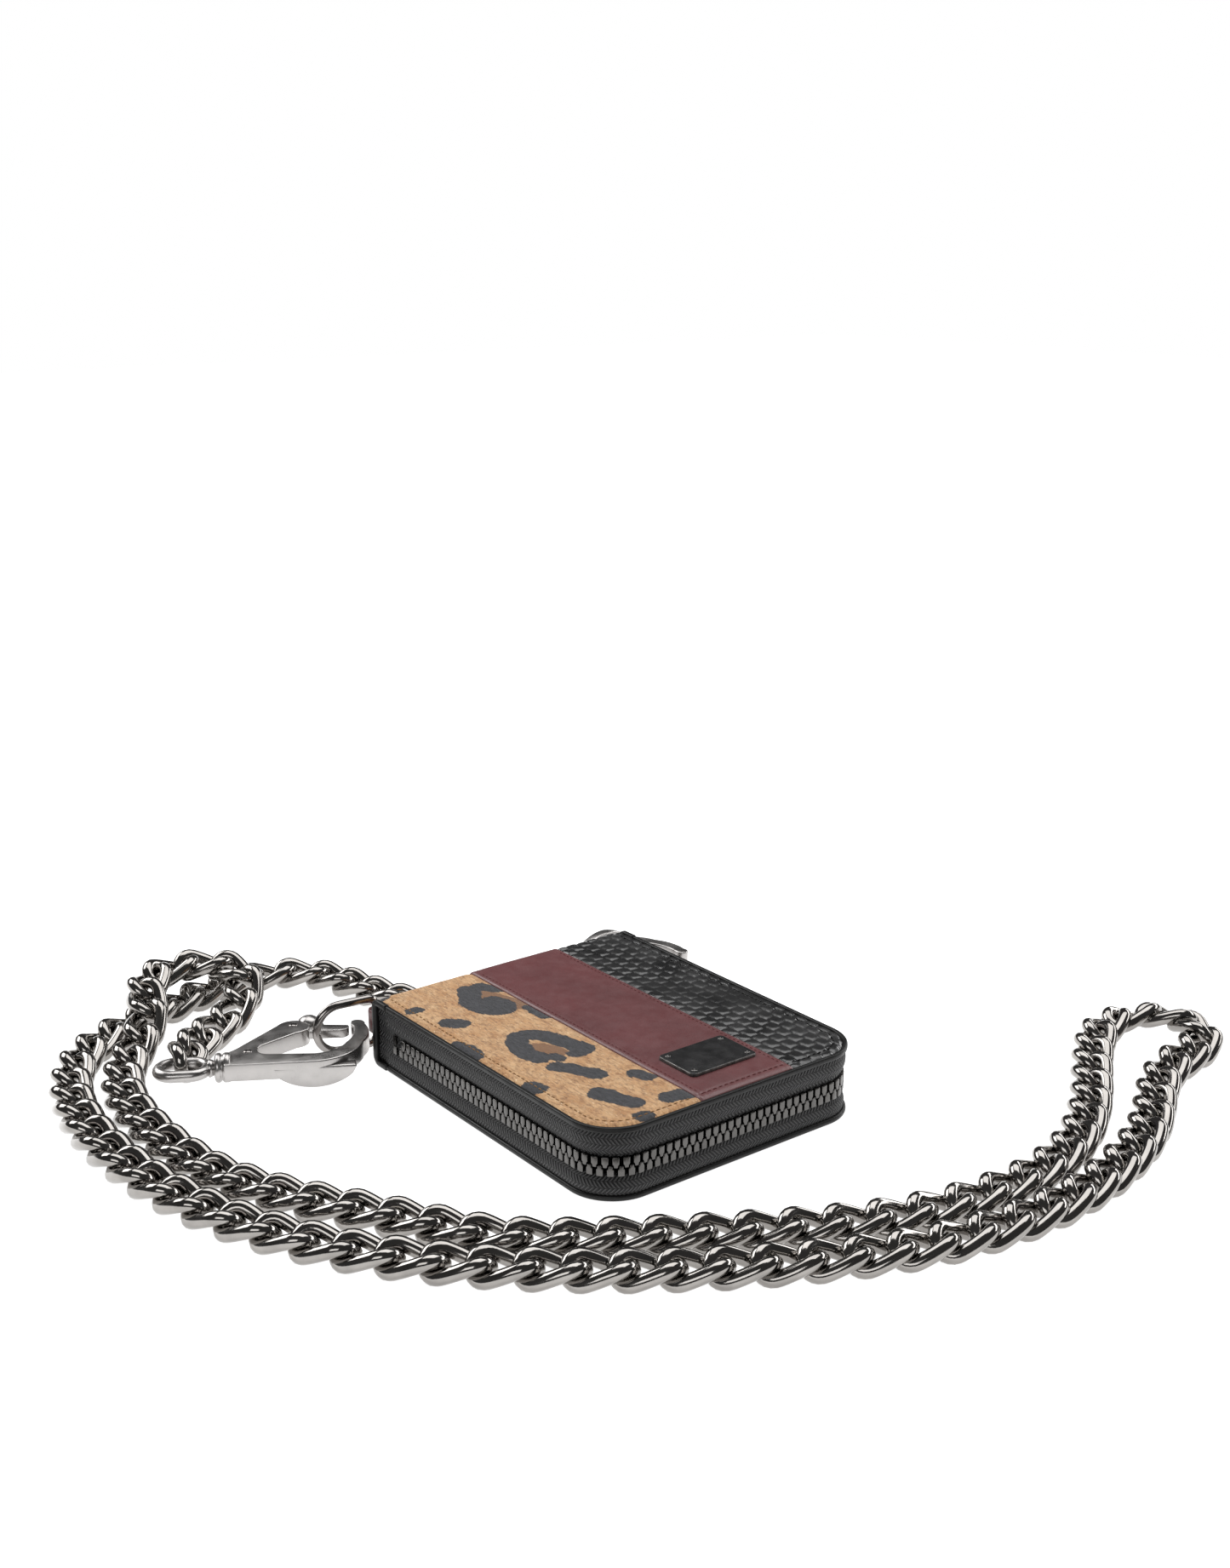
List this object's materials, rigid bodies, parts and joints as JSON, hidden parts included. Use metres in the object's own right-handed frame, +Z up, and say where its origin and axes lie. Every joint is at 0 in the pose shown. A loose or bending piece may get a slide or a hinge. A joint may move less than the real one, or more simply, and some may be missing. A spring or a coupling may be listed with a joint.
{
  "type": "zip-around chain wallet",
  "caption": "Compact zip-around wallet with three leather stripes on its cover, a metal ring on a leather tab, and a curb chain ending in swivel clasps.",
  "frame": {"origin": "centre of the wallet body's underside, on the surface it lies on", "axes": "+X from the spine towards the opening edge, +Y along the spine away from the ring, +Z up through the cover"},
  "size_m": [0.2886, 0.3249, 0.024],
  "materials": {
    "black_leather": "smooth grained leather, satin",
    "embossed_black_leather": "reptile-embossed leather, glossy",
    "burgundy_leather": "smooth leather, semi-gloss",
    "leopard_calf_hair": "printed short calf hair",
    "painted_edge": "painted leather edge",
    "stiffener_board": "pressed fibre board",
    "lining_cloth": "woven lining",
    "inner_leather": "smooth leather",
    "zip_tape": "herringbone woven tape",
    "dark_nickel": "dark ruthenium plate, polished",
    "clasp_nickel": "dark nickel plate, satin",
    "spring_steel": "plain",
    "chain_nickel": "dark ruthenium plate, polished"
  },
  "bodies": {
    "wallet_base": {"belt_clasp_eye": "clasp_nickel", "chain_links_1": "chain_nickel", "chain_links_2": "chain_nickel", "chain_links_3": "chain_nickel", "chain_links_4": "chain_nickel", "chain_links_5": "chain_nickel", "chain_links_6": "chain_nickel", "coin_pocket_back": "inner_leather", "coin_pocket_front": "inner_leather", "coin_pocket_gusset": "lining_cloth", "coin_zip_tape": "zip_tape", "coin_zip_teeth": "dark_nickel", "lower_board": "stiffener_board", "lower_card_slots": "inner_leather", "lower_cover": "black_leather", "lower_edge_binding": "painted_edge", "lower_lining": "lining_cloth", "ring_tab": "burgundy_leather", "spine_leather": "black_leather", "wallet_clasp_body": "clasp_nickel", "wallet_clasp_body_rivet": "clasp_nickel", "wallet_clasp_gate_pin": "clasp_nickel", "wallet_clasp_spring": "spring_steel", "zip_stop_lower": "dark_nickel", "zip_tape_lower": "zip_tape", "zip_teeth_lower": "dark_nickel"},
    "upper_cover": {"upper_board": "stiffener_board", "upper_lining": "lining_cloth", "leopard_panel": "leopard_calf_hair", "burgundy_panel": "burgundy_leather", "black_panel": "embossed_black_leather", "upper_edge_binding": "painted_edge", "zip_tape_upper": "zip_tape", "zip_teeth_upper": "dark_nickel", "zip_stop_upper": "dark_nickel", "upper_card_slots": "inner_leather", "metal_plate": "dark_nickel", "plate_rivets": "dark_nickel"},
    "zip_slider": {"zip_slider": "dark_nickel", "zip_slider_back": "dark_nickel"},
    "zip_pull": {"zip_pull": "dark_nickel"},
    "coin_zip_slider": {"coin_zip_slider": "dark_nickel"},
    "wallet_ring": {"wallet_ring": "dark_nickel"},
    "wallet_clasp_eye": {"wallet_clasp_eye": "clasp_nickel"},
    "wallet_clasp_gate": {"wallet_clasp_gate": "clasp_nickel"},
    "belt_clasp_body": {"belt_clasp_body": "clasp_nickel", "belt_clasp_body_rivet": "clasp_nickel", "belt_clasp_gate_pin": "clasp_nickel", "belt_clasp_spring": "spring_steel"},
    "belt_clasp_gate": {"belt_clasp_gate": "clasp_nickel"}
  },
  "joints": [
    {"name": "cover_open", "type": "hinge", "parent": "wallet_base", "child": "upper_cover", "pos_m": [-0.055, 0, 0.011], "axis": [0, -1, 0], "range_deg": [0, 90], "deforming": ["spine_leather"]},
    {"name": "zip_slide", "type": "slide", "parent": "wallet_base", "child": "zip_slider", "axis": [1, 0, 0], "range_m": [0, 0.078]},
    {"name": "zip_pull_swing", "type": "hinge", "parent": "zip_slider", "child": "zip_pull", "pos_m": [-0.038, 0.0513, 0.01], "axis": [0, 0, 1], "range_deg": [0, 120]},
    {"name": "coin_zip_slide", "type": "slide", "parent": "wallet_base", "child": "coin_zip_slider", "axis": [0, 1, 0], "range_m": [0, 0.066]},
    {"name": "ring_swing", "type": "hinge", "parent": "wallet_base", "child": "wallet_ring", "pos_m": [-0.07, -0.0425, 0.0095], "axis": [0, 0, 1], "range_deg": [-2, 2]},
    {"name": "wallet_clasp_swivel", "type": "hinge", "parent": "wallet_base", "child": "wallet_clasp_eye", "pos_m": [-0.0728, -0.0944, 0.00645], "axis": [0.5, 0.866, 0], "range_deg": [-5, 5]},
    {"name": "wallet_clasp_gate_open", "type": "hinge", "parent": "wallet_base", "child": "wallet_clasp_gate", "pos_m": [-0.08313, -0.06569, 0.00645], "axis": [0, 0, -1], "range_deg": [0, 16], "stiffness_Nm_per_rad": 0.03, "springref_deg": -17.19},
    {"name": "belt_clasp_swivel", "type": "hinge", "parent": "wallet_base", "child": "belt_clasp_body", "pos_m": [-0.0785, 0.036, 0.0057], "axis": [0.1733, -0.9829, 0.0628], "range_deg": [0, 90]},
    {"name": "belt_clasp_gate_open", "type": "hinge", "parent": "belt_clasp_body", "child": "belt_clasp_gate", "pos_m": [-0.05897, 0.05941, 0.00446], "axis": [-0.0109, 0.0618, 0.998], "range_deg": [0, 16], "stiffness_Nm_per_rad": 0.03, "springref_deg": -17.19}
  ]
}
